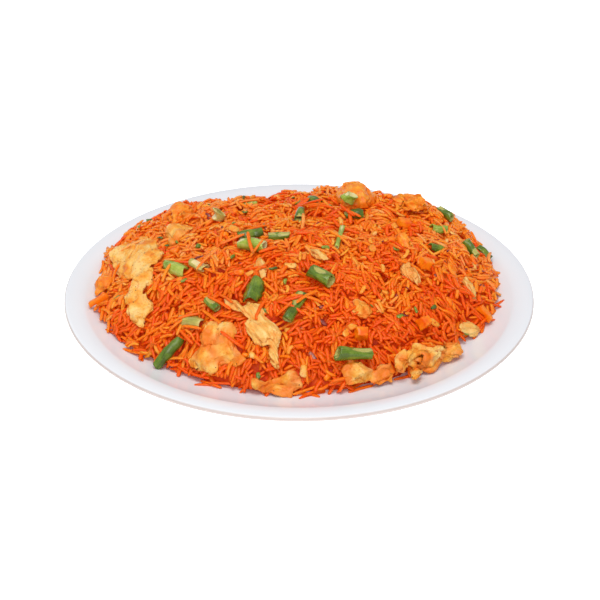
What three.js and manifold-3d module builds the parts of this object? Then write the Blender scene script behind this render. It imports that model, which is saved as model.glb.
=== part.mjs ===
// A plate of chicken fried rice: a round white plate under a broad heap of orange rice, with egg,
// chicken, carrot and spring onion lying on it. Millimetres, +Z up, standing on z = 0.
import * as THREE from 'three';
import { mergeVertices } from 'three/addons/utils/BufferGeometryUtils.js';
import Module from 'manifold-3d';

const wasm = await Module();
wasm.setup();

// Driving sizes
const gap = 0.35; // clear space between things that touch
const lowerStep = 0.12; // how finely a piece is lowered onto the rice
const plate = {
  radius: 130, // outer edge
  height: 18, // top of the lip
  wellRadius: 86, // flat middle
  wellTop: 7.5,
  rimInner: 120, // where the curved wall turns into the narrow rim band
  rimTop: 16.8,
  wall: 4.5, // thickness of the well
  lipWall: 2.6, // thickness out at the lip
  slant: 1.08, // how much thicker the sloping wall is, measured upright
  underFrom: 84, // where the underside starts to rise
  underTo: 124,
  lipOver: 1.7, // rounding of the lip above
  lipUnder: 1.2, // and below
  lipSide: 1, // and at its side
  footInner: 71,
  footOuter: 77,
  footFlare: 1.5, // how much wider the foot is where it meets the well
  sides: 56,
};
const heap = {
  x: -3, // middle of the heap's outline
  y: 7.5,
  halfX: 113,
  halfY: 104.5,
  rise: 37, // above the plate, without the swells
  flatTop: 2.4, // how flat the heap is on top
  steepEdge: 0.78, // and how steep at its edge
  fadeSwells: 2.2, // how soon the swells set in from the edge
  fadeRelief: 8, // and the grains' relief
  edgeDrop: 0.5, // how far the edge dips into the plate
  base: -10, // the core's underside before the plate is cut away
  rings: 23, // rings of points in its mesh
};
// waves of the heap's outline: how many go round it, how deep they are, where they start
const edgeWaves = [
  { count: 3, deep: 0.018, start: 0.6 },
  { count: 5, deep: 0.014, start: 2.1 },
  { count: 8, deep: 0.012, start: 4 },
  { count: 13, deep: 0.008, start: 1 },
  { count: 29, deep: 0.008, start: 2 },
];
// where the outline bulges: direction in radians, depth, spread
const edgeBulges = [
  { angle: -0.75, deep: 0.04, wide: 0.2 },
  { angle: 0.45, deep: 0.035, wide: 0.21 },
];
// broad swells of the heap: place, height, spread
const swells = [
  { x: 70, y: 56, high: 11, wide: 24 },
  { x: 20, y: 72, high: 3, wide: 18 },
  { x: -66, y: 62, high: 3, wide: 14 },
  { x: -88, y: 28, high: 2, wide: 20 },
  { x: -10, y: -40, high: 3, wide: 40 },
  { x: 60, y: -30, high: 2, wide: 35 },
  { x: -35, y: 40, high: -3, wide: 22 },
  { x: 95, y: 25, high: 3, wide: 18 },
  { x: -40, y: 102, high: -8, wide: 10 },
  { x: -64, y: 94, high: -6, wide: 8 },
  { x: -15, y: 106, high: -6, wide: 9 },
  { x: 20, y: 103, high: -5, wide: 9 },
  { x: 50, y: 96, high: -6, wide: 9 },
];
// low waves over the rice: height, radians for each millimetre of x and of y, where they start
const riceWaves = [
  { high: 0.9, alongX: 0.21, alongY: 0.13, start: 1 },
  { high: 0.9, alongX: -0.11, alongY: 0.24, start: 2 },
  { high: 0.7, alongX: 0.33, alongY: -0.27, start: 0 },
  { high: 0.6, alongX: 0.05, alongY: 0.41, start: 0.5 },
];
const grain = {
  long: 11,
  wide: 2.3,
  tall: 2.1,
  count: 68,
  proud: 0.5, // how far its middle lies above the core
  sides: 5,
  rows: 4,
  reach: 0.95, // the outermost grain, as a share of the way to the edge
  tilt: 0.4, // most that its two ends may differ in slope, in radians
  room: 1.25, // clear space that it needs, against its own size
};
const bump = { cell: 8, long: 4.4, wide: 2.2, high: 2.6, level: 0.45 };
const clearing = { margin: 1.5, soft: 4 }; // plain rice round and under a topping
// a topping that drapes over the rice
const drape = {
  threeRings: 21, // from this length on
  corner: 0.14, // how far corners stand out
  waves: [{ count: 2, deep: 0.1 }, { count: 3, deep: 0.08 }, { count: 5, deep: 0.08 }],
  rim: 0.35, // thickness at the edge, as a share
  foldAlong: 5,
  foldAcross: 3,
  foldFade: 0.4, // how much the folds fade towards the edge
};
const stalk = { sides: 8, leastReach: 3 };
const blade = {
  along: 6,
  across: 2,
  tip: 0.35, // width at its narrow end, as a share
  firstTaper: 0.12,
  taperRun: 0.8,
  wave: 0.5,
  waveRun: 1.4,
  off: 0.5, // how far its underside lies off the rice
};
const cut = { top: 0.86, end: 0.92 }; // how much narrower a diced piece is at its top and one end

const degrees = Math.PI / 180;
const goldenAngle = Math.PI * (3 - Math.sqrt(5));

// Finishes
const finishes = {
  porcelain: { color: '#f2eff0', roughness: 0.18, metalness: 0 },
  rice: { color: '#e8701c', roughness: 0.5, metalness: 0 },
  egg: { color: '#f3c983', roughness: 0.55, metalness: 0 },
  chicken: { color: '#f4bd8b', roughness: 0.5, metalness: 0 },
  coated: { color: '#e8812c', roughness: 0.5, metalness: 0 },
  carrot: { color: '#f07f22', roughness: 0.4, metalness: 0 },
  onion: { color: '#6f9a3c', roughness: 0.35, metalness: 0 },
  onionDark: { color: '#2f5a24', roughness: 0.35, metalness: 0 },
};

// Solids
function toSolid(geometry) {
  const bare = geometry.index ? geometry.toNonIndexed() : geometry.clone();
  bare.deleteAttribute('normal');
  bare.deleteAttribute('uv');
  const merged = mergeVertices(bare, 1e-4);
  return new wasm.Manifold(new wasm.Mesh({
    numProp: 3,
    vertProperties: new Float32Array(merged.attributes.position.array),
    triVerts: new Uint32Array(merged.index.array),
  }));
}

function toGeometry(solid) {
  const mesh = solid.getMesh();
  const geometry = new THREE.BufferGeometry();
  geometry.setAttribute('position', new THREE.BufferAttribute(new Float32Array(mesh.vertProperties), 3));
  geometry.setIndex(new THREE.BufferAttribute(new Uint32Array(mesh.triVerts), 1));
  geometry.computeVertexNormals();
  return geometry;
}

function largestPiece(solid) {
  const pieces = solid.decompose();
  return pieces.reduce((best, piece) => (piece.volume() > best.volume() ? piece : best));
}

function fromTriangles(points, faces) {
  const geometry = new THREE.BufferGeometry();
  geometry.setAttribute('position', new THREE.Float32BufferAttribute(points.flat(), 3));
  geometry.setIndex(faces.flat());
  return geometry;
}

function lathe(profile, sides) {
  const geometry = new THREE.LatheGeometry(profile.map(([r, z]) => new THREE.Vector2(r, z)), sides);
  return geometry.rotateX(Math.PI / 2);
}

// repeatable random numbers from 0 to 1
function seeded(seed) {
  let state = seed;
  return () => {
    state = (state * 1664525 + 1013904223) % 4294967296;
    return state / 4294967296;
  };
}

// Plate
const wallRun = plate.rimInner - plate.wellRadius;
const wallRise = plate.rimTop - plate.wellTop;
const wallArc = wallRun / Math.sin(2 * Math.atan2(wallRise, wallRun)); // radius of the wall's curve

// upper face of the plate at a distance from its axis
function plateTop(r) {
  const run = Math.min(Math.max(r - plate.wellRadius, 0), wallRun);
  const past = Math.max(r - plate.rimInner, 0) / (plate.radius - plate.rimInner);
  const curve = wallArc - Math.sqrt(wallArc ** 2 - run ** 2);
  return plate.wellTop + curve + past * (plate.height - plate.rimTop);
}

function steps(from, to, count) {
  return Array.from({ length: count + 1 }, (_, i) => from + (to - from) * i / count);
}

function makePlate() {
  const under = steps(plate.underFrom, plate.underTo, 2).map((r) => {
    const outward = Math.max((r - plate.wellRadius) / (plate.radius - plate.wellRadius), 0);
    return [r, plateTop(r) - THREE.MathUtils.lerp(plate.wall, plate.lipWall, outward) * plate.slant];
  });
  const profile = [
    [0, plate.wellTop - plate.wall],
    [plate.footInner - plate.footFlare, plate.wellTop - plate.wall],
    [plate.footInner, 0],
    [plate.footOuter, 0],
    [plate.footOuter + plate.footFlare, plate.wellTop - plate.wall * plate.slant],
    ...under,
    [plate.radius - plate.lipUnder, plate.height - plate.lipWall],
    [plate.radius, plate.height - plate.lipSide],
    [plate.radius - plate.lipOver, plate.height],
    ...steps(plate.rimInner, plate.wellRadius, 4).map((r) => [r, plateTop(r)]),
    [0, plate.wellTop],
  ];
  return toSolid(lathe(profile, plate.sides));
}

// everything below the plate's upper face, and a little above it
function makeBed() {
  const outside = plate.radius + 20;
  const profile = [
    [0, 2 * heap.base],
    [outside, 2 * heap.base],
    [outside, plate.height + 3],
    ...steps(plate.rimInner, plate.wellRadius, 4).map((r) => [r, plateTop(r) + gap]),
    [0, plate.wellTop + gap],
  ];
  return toSolid(lathe(profile, plate.sides));
}

// Heap of rice
function bell(distance, spread) {
  return Math.exp(-0.5 * (distance / spread) ** 2);
}

// how far the uneven outline reaches, against its plain oval
function heapEdge(angle) {
  const wavy = edgeWaves.reduce((sum, w) => sum + w.deep * Math.sin(w.count * angle + w.start), 1);
  return edgeBulges.reduce((sum, b) => sum + b.deep * bell(angle - b.angle, b.wide), wavy);
}

// share of the way from the middle of the heap to its edge
function heapShare(x, y) {
  const u = (x - heap.x) / heap.halfX;
  const v = (y - heap.y) / heap.halfY;
  return Math.hypot(u, v) / heapEdge(Math.atan2(v, u));
}

// the broad form of the heap
function heapTop(x, y) {
  const share = Math.min(heapShare(x, y), 1);
  const body = (1 - share ** heap.flatTop) ** heap.steepEdge;
  const swell = swells.reduce((sum, s) => sum + s.high * bell(Math.hypot(x - s.x, y - s.y), s.wide), 0);
  return plateTop(Math.hypot(x, y)) + heap.rise * body + swell * Math.min(1, heap.fadeSwells * body);
}

// a repeatable number from 0 to 1 for a cell of the grid
function scatter(i, j, salt) {
  const value = Math.sin(i * 127.1 + j * 311.7 + salt * 74.7) * 43758.5453;
  return value - Math.floor(value);
}

function softWaves(x, y) {
  return riceWaves.reduce((sum, w) => sum + w.high * Math.sin(w.alongX * x + w.alongY * y + w.start), 0);
}

// long low bumps of a grain's size, one for each cell of a loose grid
function grainBumps(x, y) {
  const column = Math.floor(x / bump.cell);
  const row = Math.floor(y / bump.cell);
  let top = 0;
  for (let i = column - 1; i <= column + 1; i += 1) {
    for (let j = row - 1; j <= row + 1; j += 1) {
      const turn = Math.PI * scatter(i, j, 3);
      const dx = x - (i + scatter(i, j, 1)) * bump.cell;
      const dy = y - (j + scatter(i, j, 2)) * bump.cell;
      const along = dx * Math.cos(turn) + dy * Math.sin(turn);
      const across = dy * Math.cos(turn) - dx * Math.sin(turn);
      top = Math.max(top, bell(along, bump.long) * bell(across, bump.wide));
    }
  }
  return bump.high * (top - bump.level);
}

// 1 on open rice, 0 where a topping lies
function openRice(x, y) {
  return footprints.reduce((open, { x: fx, y: fy, turn, long, wide }) => {
    const dx = x - fx;
    const dy = y - fy;
    const along = dx * Math.cos(turn * degrees) + dy * Math.sin(turn * degrees);
    const across = dy * Math.cos(turn * degrees) - dx * Math.sin(turn * degrees);
    const far = Math.hypot(along / (0.5 * long + clearing.margin), across / (0.5 * wide + clearing.margin));
    return Math.min(open, THREE.MathUtils.clamp(clearing.soft * (far - 1), 0, 1));
  }, 1);
}

function heapRelief(x, y, share) {
  const inside = Math.min(1, heap.fadeRelief * (1 - share));
  return (softWaves(x, y) + grainBumps(x, y)) * inside * openRice(x, y);
}

// rings of points from the middle out, ring k holding 6k of them
function ringDisc(rings, place) {
  const points = [place(0, 0)];
  const faces = [];
  const first = (k) => (k === 0 ? 0 : 1 + 3 * k * (k - 1));
  const at = (k, i) => (k === 0 ? 0 : first(k) + (i % (6 * k)));
  for (let k = 1; k <= rings; k += 1) {
    for (let i = 0; i < 6 * k; i += 1) {
      points.push(place(k / rings, (2 * Math.PI * i) / (6 * k)));
    }
    for (let side = 0; side < 6; side += 1) {
      for (let i = 0; i < k; i += 1) {
        const outer = side * k + i;
        const inner = side * (k - 1) + i;
        faces.push([at(k, outer), at(k, outer + 1), at(k - 1, inner)]);
        if (i < k - 1) {
          faces.push([at(k - 1, inner), at(k, outer + 1), at(k - 1, inner + 1)]);
        }
      }
    }
  }
  const edge = Array.from({ length: 6 * rings }, (_, i) => at(rings, i));
  return { points, faces, edge };
}

// a closed solid between two ring discs of the same rings
function ringSolid(rings, above, below) {
  const upper = ringDisc(rings, above);
  const lower = ringDisc(rings, below);
  const count = upper.points.length;
  const under = lower.faces.map(([a, b, c]) => [count + a, count + c, count + b]);
  const side = upper.edge.flatMap((top, i) => {
    const next = upper.edge[(i + 1) % upper.edge.length];
    return [[top, count + top, next], [next, count + top, count + next]];
  });
  return toSolid(fromTriangles([...upper.points, ...lower.points], [...upper.faces, ...under, ...side]));
}

function makeCore(raise) {
  const spot = (share, angle) => {
    const reach = share * heapEdge(angle);
    return [heap.x + heap.halfX * reach * Math.cos(angle), heap.y + heap.halfY * reach * Math.sin(angle)];
  };
  const above = (share, angle) => {
    const [x, y] = spot(share, angle);
    const dip = share === 1 ? heap.edgeDrop : 0;
    return [x, y, heapTop(x, y) + heapRelief(x, y, share) + raise - dip];
  };
  return ringSolid(heap.rings, above, (share, angle) => [...spot(share, angle), heap.base]);
}

// the frame of a thing lying on the heap: local X along the heading, local Z off the surface
function lieOn(x, y, heading, lift, reach = 4) {
  const slopeX = (heapTop(x + reach, y) - heapTop(x - reach, y)) / (2 * reach);
  const slopeY = (heapTop(x, y + reach) - heapTop(x, y - reach)) / (2 * reach);
  const up = new THREE.Vector3(-slopeX, -slopeY, 1).normalize();
  const side = new THREE.Vector3(-Math.sin(heading * degrees), Math.cos(heading * degrees), 0);
  const along = side.clone().cross(up).normalize();
  const across = up.clone().cross(along);
  const origin = new THREE.Vector3(x, y, heapTop(x, y)).addScaledVector(up, lift);
  return new THREE.Matrix4().makeBasis(along, across, up).setPosition(origin);
}

function makeGrain(x, y, heading, pitch, size = 1) {
  const geometry = new THREE.SphereGeometry(0.5, grain.sides, grain.rows);
  geometry.rotateZ(Math.PI / 2);
  geometry.scale(grain.long * size, grain.wide * size, grain.tall * size);
  geometry.rotateY(pitch);
  geometry.applyMatrix4(lieOn(x, y, heading, grain.proud + heapRelief(x, y, heapShare(x, y))));
  return toSolid(geometry);
}

// grains that lie proud of the core, spread evenly, but none across a topping or into the plate
function makeHeap(toppings) {
  const random = seeded(7);
  let solid = largestPiece(makeCore(0).subtract(bed));
  for (let i = 0; i < grain.count; i += 1) {
    const share = grain.reach * Math.sqrt((i + 0.5) / grain.count);
    const angle = i * goldenAngle + 0.5 * random();
    const x = heap.x + heap.halfX * share * Math.cos(angle);
    const y = heap.y + heap.halfY * share * Math.sin(angle);
    const lying = [x, y, 360 * random(), (random() - 0.5) * grain.tilt];
    const room = makeGrain(...lying, grain.room);
    if ([bed, ...toppings].every((other) => room.intersect(other).isEmpty())) {
      solid = solid.add(makeGrain(...lying));
    }
  }
  return largestPiece(solid);
}

// Shapes of the toppings
// a lump or sheet that lies along the heap: an uneven outline, a domed top and a few soft folds
function draped({ x, y, turn, long, wide, thick, corners = 0, dome = 3, fold = 0.2, seed = 1 }, lift) {
  const random = seeded(seed * 97 + 13);
  const starts = drape.waves.map(() => random() * 2 * Math.PI);
  const foldStart = random() * 2 * Math.PI;
  const frame = lieOn(x, y, turn, 0);
  const [along, across, up] = [0, 1, 2].map((axis) => new THREE.Vector3().setFromMatrixColumn(frame, axis));
  const rings = long > drape.threeRings ? 3 : 2;
  const spot = (share, angle, rise) => {
    const cornered = 1 + (corners ? drape.corner : 0) * Math.cos(corners * angle);
    const wavy = (sum, w, i) => sum + w.deep * Math.sin(w.count * angle + starts[i]);
    const uneven = drape.waves.reduce(wavy, cornered);
    const a = 0.5 * long * share * uneven * Math.cos(angle);
    const b = 0.5 * wide * share * uneven * Math.sin(angle);
    const wave = Math.sin((drape.foldAlong * a + drape.foldAcross * b) / wide + foldStart);
    const folds = fold * wave * (1 - share * drape.foldFade);
    const dx = along.x * a + across.x * b;
    const dy = along.y * a + across.y * b;
    const high = lift + rise * thick * (drape.rim + (1 - drape.rim) * (1 - share ** dome) + folds);
    return new THREE.Vector3(x + dx, y + dy, heapTop(x + dx, y + dy)).addScaledVector(up, high).toArray();
  };
  return ringSolid(rings, (share, angle) => spot(share, angle, 1), (share, angle) => spot(share, angle, 0));
}

// one thing made of several lumps
function cluster({ parts }, lift) {
  return parts.map((part) => draped(part, lift)).reduce((sum, part) => sum.add(part));
}

// a cut length of hollow green stalk, a little flattened, lying on its side
function tube({ x, y, turn, long, wide, flat = 0.75, bore = 0.62, lean = 0 }, lift) {
  const outer = wide / 2;
  const half = long / 2;
  const rim = [[bore, -half], [1, -half], [1, half], [bore, half], [bore, -half]];
  const profile = rim.map(([r, l]) => new THREE.Vector2(r * outer, l));
  const geometry = new THREE.LatheGeometry(profile, stalk.sides);
  geometry.rotateZ(Math.PI / 2);
  geometry.scale(1, 1, flat);
  geometry.rotateY(-lean * degrees);
  const rest = half * Math.sin(lean * degrees) + outer * flat * Math.cos(lean * degrees);
  geometry.applyMatrix4(lieOn(x, y, turn, rest + lift, Math.max(half * 0.8, stalk.leastReach)));
  return toSolid(geometry);
}

// a slit leaf: a thin wavy strip, arched across
function leaf({ x, y, turn, long, wide, thick = 1.3, arch = 0.22 }, lift) {
  const frame = lieOn(x, y, turn, lift, long * 0.4);
  const { along, across } = blade;
  const points = [];
  for (const face of [0, 1]) {
    for (let i = 0; i <= along; i += 1) {
      for (let j = 0; j <= across; j += 1) {
        const swelling = Math.sin(Math.PI * (blade.firstTaper + blade.taperRun * (i / along)));
        const taper = blade.tip + (1 - blade.tip) * swelling;
        const arched = arch * wide * (1 - (2 * j / across - 1) ** 2);
        const high = arched + blade.wave * Math.sin(blade.waveRun * i + x) + blade.off + face * thick;
        const point = new THREE.Vector3((i / along - 0.5) * long, (j / across - 0.5) * wide * taper, high);
        points.push(point.applyMatrix4(frame).toArray());
      }
    }
  }
  const at = (i, j, face) => (face * (along + 1) + i) * (across + 1) + j;
  const faces = [];
  const quad = (a, b, c, d) => faces.push([a, b, c], [a, c, d]);
  for (let i = 0; i < along; i += 1) {
    for (let j = 0; j < across; j += 1) {
      quad(at(i, j, 1), at(i + 1, j, 1), at(i + 1, j + 1, 1), at(i, j + 1, 1));
      quad(at(i + 1, j + 1, 0), at(i + 1, j, 0), at(i, j, 0), at(i, j + 1, 0));
    }
    quad(at(i, 0, 0), at(i + 1, 0, 0), at(i + 1, 0, 1), at(i, 0, 1));
    quad(at(i + 1, across, 0), at(i, across, 0), at(i, across, 1), at(i + 1, across, 1));
  }
  for (let j = 0; j < across; j += 1) {
    quad(at(0, j + 1, 0), at(0, j, 0), at(0, j, 1), at(0, j + 1, 1));
    quad(at(along, j, 0), at(along, j + 1, 0), at(along, j + 1, 1), at(along, j, 1));
  }
  return toSolid(fromTriangles(points, faces));
}

// a diced piece of carrot, or a stick of it, cut a little askew
function dice({ x, y, turn, long, wide, tall }, lift) {
  const geometry = new THREE.BoxGeometry(long, wide, tall);
  const corners = geometry.attributes.position;
  for (let i = 0; i < corners.count; i += 1) {
    const narrower = (corners.getZ(i) > 0 ? cut.top : 1) * (corners.getX(i) > 0 ? cut.end : 1);
    corners.setX(i, corners.getX(i) * narrower);
    corners.setY(i, corners.getY(i) * narrower);
  }
  geometry.applyMatrix4(lieOn(x, y, turn, tall / 2 + lift, long * 0.5));
  return toSolid(geometry);
}

// What lies where: x, y, heading in degrees, and sizes
const eggs = [
  [
    { x: -90, y: 7, turn: -55, long: 44, wide: 32, thick: 5.5, fold: 0.3, seed: 3 },
    { x: -85, y: -21, turn: -95, long: 30, wide: 15, thick: 4.5, fold: 0.2, seed: 5 },
    { x: -83, y: -43, turn: -75, long: 22, wide: 13, thick: 4.5, fold: 0.25, seed: 6 },
  ],
  [{ x: -68, y: 19, turn: 80, long: 20, wide: 14, thick: 5, seed: 8 }],
  [{ x: -41, y: -77, turn: -30, long: 28, wide: 27, thick: 5.5, corners: 3, dome: 5, fold: 0.15, seed: 11 }],
  [{ x: 32, y: -59, turn: 10, long: 12, wide: 12, thick: 4.5, corners: 4, seed: 14 }],
  [
    { x: 28, y: -89, turn: 5, long: 17, wide: 12, thick: 4.5, dome: 4, seed: 17 },
    { x: 42, y: -86, turn: 15, long: 16, wide: 11, thick: 4, dome: 4, seed: 18 },
  ],
  [
    { x: 54, y: -77, turn: 35, long: 19, wide: 11, thick: 5.5, fold: 0.3, seed: 21 },
    { x: 67, y: -72, turn: 40, long: 17, wide: 13, thick: 5.5, dome: 4, seed: 24 },
    { x: 78, y: -67, turn: 55, long: 14, wide: 11, thick: 5.5, seed: 25 },
    { x: 59, y: -85, turn: -100, long: 18, wide: 7, thick: 3, fold: 0.1, seed: 26 },
  ],
  [{ x: -11, y: -95, turn: 0, long: 24, wide: 10, thick: 4, seed: 28 }],
  [{ x: -40, y: 101, turn: 8, long: 23, wide: 13, thick: 3.5, fold: 0.3, seed: 31 }],
  [{ x: 50, y: 94, turn: -28, long: 22, wide: 14, thick: 4, corners: 3, seed: 34 }],
];

const chickens = [
  [
    { x: -31, y: -59, turn: -42, long: 27, wide: 5, thick: 3.5, fold: 0.1, seed: 41 },
    { x: -23, y: -62, turn: -60, long: 14, wide: 9, thick: 4, fold: 0.1, seed: 44 },
    { x: -18, y: -73, turn: -50, long: 24, wide: 14, thick: 5, fold: 0.2, seed: 42 },
    { x: -13, y: -84, turn: -75, long: 18, wide: 7, thick: 3.5, fold: 0.1, seed: 43 },
  ],
  [{ x: 59, y: -26, turn: -70, long: 19, wide: 10, thick: 4.5, fold: 0.35, seed: 45 }],
  [{ x: -20, y: -33, turn: -90, long: 20, wide: 7, thick: 3.5, fold: 0.1, seed: 47 }],
  [{ x: 89, y: -45, turn: 20, long: 13, wide: 9, thick: 3.5, corners: 3, seed: 49 }],
  [{ x: 92, y: -19, turn: -70, long: 18, wide: 7, thick: 4, seed: 51 }],
  [{ x: 10, y: -23, turn: -50, long: 14, wide: 8, thick: 3.5, fold: 0.3, seed: 53 }],
  [{ x: 5, y: 102, turn: 5, long: 20, wide: 10, thick: 3.5, seed: 55 }],
];

const coatedChickens = [
  [{ x: 33, y: 48, turn: 0, long: 24, wide: 25, thick: 11.5, dome: 3, fold: 0.05, seed: 61 }],
  [{ x: 64, y: 44, turn: -25, long: 26, wide: 18, thick: 7, fold: 0.3, seed: 64 }],
  [{ x: -70, y: 47, turn: 40, long: 22, wide: 17, thick: 8, dome: 2, seed: 66 }],
  [{ x: -108, y: -3, turn: -80, long: 19, wide: 12, thick: 5.5, dome: 2.5, seed: 68 }],
  [{ x: 57, y: 1, turn: -60, long: 16, wide: 10, thick: 5.5, seed: 70 }],
];

const carrots = [
  { x: 67, y: -17, turn: 20, long: 6.5, wide: 6, tall: 5.5 },
  { x: 63, y: -57, turn: 50, long: 7, wide: 6, tall: 5.5 },
  { x: 31, y: -72, turn: 10, long: 7, wide: 6, tall: 5.5 },
  { x: 99, y: -33, turn: -40, long: 11, wide: 4, tall: 3.5 },
  { x: 59, y: 21, turn: 10, long: 8, wide: 6, tall: 4 },
  { x: -108, y: -22, turn: 15, long: 12, wide: 3.5, tall: 3.2 },
  { x: -20, y: 101, turn: 35, long: 6.5, wide: 5.5, tall: 4 },
  { x: 75, y: 83, turn: -20, long: 7, wide: 6, tall: 4.5 },
];

const onions = [
  { shape: tube, x: -25, y: -14, turn: -22, long: 15, wide: 8, flat: 0.85 },
  { shape: leaf, x: -27, y: 4, turn: 18, long: 14, wide: 8, dark: true },
  { shape: tube, x: -11, y: -3, turn: 5, long: 11, wide: 6, dark: true },
  { shape: tube, x: -46, y: 31, turn: 0, long: 5, wide: 8, flat: 1, lean: 60 },
  { shape: leaf, x: -29, y: 57, turn: 10, long: 9, wide: 5 },
  { shape: tube, x: 1, y: 26, turn: -95, long: 16, wide: 6, dark: true },
  { shape: tube, x: 12, y: 40, turn: -55, long: 18, wide: 6, dark: true },
  { shape: tube, x: 29, y: 34, turn: 0, long: 5, wide: 8, flat: 1, lean: 55 },
  { shape: tube, x: 31, y: 24, turn: 5, long: 10, wide: 7, dark: true },
  { shape: tube, x: 22, y: -3, turn: -99, long: 26, wide: 3.6, flat: 0.8 },
  { shape: tube, x: 84, y: 44, turn: -40, long: 10, wide: 6, dark: true },
  { shape: leaf, x: 79, y: 25, turn: 22, long: 10, wide: 6 },
  { shape: leaf, x: 76, y: 5, turn: 19, long: 9, wide: 6, dark: true },
  { shape: tube, x: 96, y: 19, turn: -50, long: 11, wide: 6.5, dark: true },
  { shape: leaf, x: 107, y: 32, turn: -40, long: 10, wide: 6, dark: true },
  { shape: leaf, x: -66, y: -19, turn: -48, long: 17, wide: 9 },
  { shape: tube, x: -53, y: -24, turn: -45, long: 11, wide: 7, flat: 0.6 },
  { shape: tube, x: -44, y: -54, turn: -50, long: 9, wide: 6, dark: true },
  { shape: leaf, x: -23, y: -51, turn: 75, long: 15, wide: 10, dark: true },
  { shape: tube, x: -2, y: -62, turn: 62, long: 18, wide: 7.5, dark: true },
  { shape: tube, x: 11, y: -43, turn: -35, long: 13, wide: 9.5, flat: 0.75 },
  { shape: leaf, x: -66, y: -71, turn: 30, long: 19, wide: 7, dark: true },
  { shape: tube, x: 26, y: -83, turn: 14, long: 18, wide: 9, flat: 0.55, dark: true },
  { shape: leaf, x: -55, y: -60, turn: -30, long: 13, wide: 8 },
  { shape: tube, x: -61, y: 96, turn: 28, long: 13, wide: 5, flat: 0.6, dark: true },
  { shape: tube, x: 22, y: 103, turn: 10, long: 6, wide: 6, flat: 0.7 },
  { shape: leaf, x: -11, y: 109, turn: -5, long: 12, wide: 6, dark: true },
];

// The whole
const kinds = [
  { name: 'egg', finish: 'egg', pieces: eggs.map((parts) => ({ shape: cluster, parts })) },
  { name: 'chicken', finish: 'chicken', pieces: chickens.map((parts) => ({ shape: cluster, parts })) },
  {
    name: 'coated_chicken',
    finish: 'coated',
    pieces: coatedChickens.map((parts) => ({ shape: cluster, parts })),
  },
  { name: 'carrot', finish: 'carrot', pieces: carrots.map((size) => ({ shape: dice, ...size })) },
  { name: 'spring_onion', finish: 'onion', pieces: onions },
];
const footprints = kinds.flatMap(({ pieces }) => pieces.flatMap((piece) => piece.parts ?? [piece]));
const bed = makeBed();
const raisedCore = makeCore(gap);

// lowers a piece onto the rice, or onto what lies there already, as far as the gap allows
function settle(piece, laid) {
  let lift = 0;
  let solid = piece.shape(piece, lift);
  const touches = () => [raisedCore, bed].some((other) => !solid.intersect(other).isEmpty())
    || laid.some((other) => !solid.translate(0, 0, -gap).intersect(other).isEmpty());
  while (touches()) {
    lift += lowerStep;
    solid = piece.shape(piece, lift);
  }
  return solid;
}

const group = new THREE.Group();

function show(name, solid, finish) {
  const mesh = new THREE.Mesh(toGeometry(solid), new THREE.MeshStandardMaterial(finishes[finish]));
  mesh.name = name;
  group.add(mesh);
}

const toppings = [];
for (const { name, finish, pieces } of kinds) {
  pieces.forEach((piece, i) => {
    const solid = settle(piece, toppings);
    toppings.push(solid);
    show(`${name}_${i + 1}`, solid, piece.dark ? 'onionDark' : finish);
  });
}
show('plate', makePlate(), 'porcelain');
show('rice_heap', makeHeap(toppings), 'rice');

export default group;
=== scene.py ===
import math
import random

import bmesh
import bpy
import numpy as np
from mathutils import Matrix, Vector, noise
from mathutils.bvhtree import BVHTree


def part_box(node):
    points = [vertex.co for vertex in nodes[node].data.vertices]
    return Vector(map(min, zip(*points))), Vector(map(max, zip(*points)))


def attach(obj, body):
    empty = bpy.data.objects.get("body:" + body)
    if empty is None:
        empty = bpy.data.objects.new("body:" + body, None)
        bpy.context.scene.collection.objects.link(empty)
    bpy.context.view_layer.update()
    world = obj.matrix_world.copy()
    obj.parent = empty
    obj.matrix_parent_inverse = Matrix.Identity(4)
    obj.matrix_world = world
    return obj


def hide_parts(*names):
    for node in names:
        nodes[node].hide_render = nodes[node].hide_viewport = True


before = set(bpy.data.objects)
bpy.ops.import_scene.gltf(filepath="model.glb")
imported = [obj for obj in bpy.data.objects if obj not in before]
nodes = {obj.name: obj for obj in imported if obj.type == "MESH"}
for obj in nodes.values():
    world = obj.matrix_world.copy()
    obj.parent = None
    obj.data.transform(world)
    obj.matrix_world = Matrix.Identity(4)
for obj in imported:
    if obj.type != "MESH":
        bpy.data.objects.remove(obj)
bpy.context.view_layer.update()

# A white plate of chicken fried rice: thousands of loose grains over a core, with egg, chicken,
# carrot and spring onion. Blender's unit is the metre, so mm turns a size in millimetres into it.
mm = 0.001
up = Vector((0, 0, 1))
touching = 0.01 * mm
noise.seed_set(2)  # without it each run gives other shapes
print("frame loaded with", len(nodes), "nodes")


# the camera stands where the photo was taken from
photoView = {
    "lens": 75,
    "sensor": 36,
    "distance": 0.7,  # from the middle of the plate's lip
    "elevation": 29.5,
    "lipPixel": (299.1, 281.9),  # where that middle lies in the picture
    "pictureSize": 600,
}
stage = {
    "floorSize": 30.0,
    "floorColour": "#ffffff",
    "floorRough": 0.9,
    "floorGlow": 0.6,
    "worldColour": "#f4f8ff",
    "worldStrength": 0.46,
}
lamps = [
    {"name": "softTop", "place": (-0.05, -0.35, 1.05), "size": 0.6, "watts": 6.6, "colour": "#fffaf4"},
    {"name": "softFront", "place": (0.0, -1.1, 0.75), "size": 0.5, "watts": 4.1, "colour": "#fff6ee"},
    {"name": "rimBack", "place": (-0.55, 0.75, 0.55), "size": 0.3, "watts": 0.5, "colour": "#ffffff"},
]


# #rrggbb as shader numbers
def linear(code):
    parts = [int(code[i:i + 2], 16) / 255 for i in (1, 3, 5)]
    return tuple(c / 12.92 if c <= 0.04045 else ((c + 0.055) / 1.055) ** 2.4 for c in parts) + (1.0,)


def addToScene(thing):
    bpy.context.scene.collection.objects.link(thing)
    return thing


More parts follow.
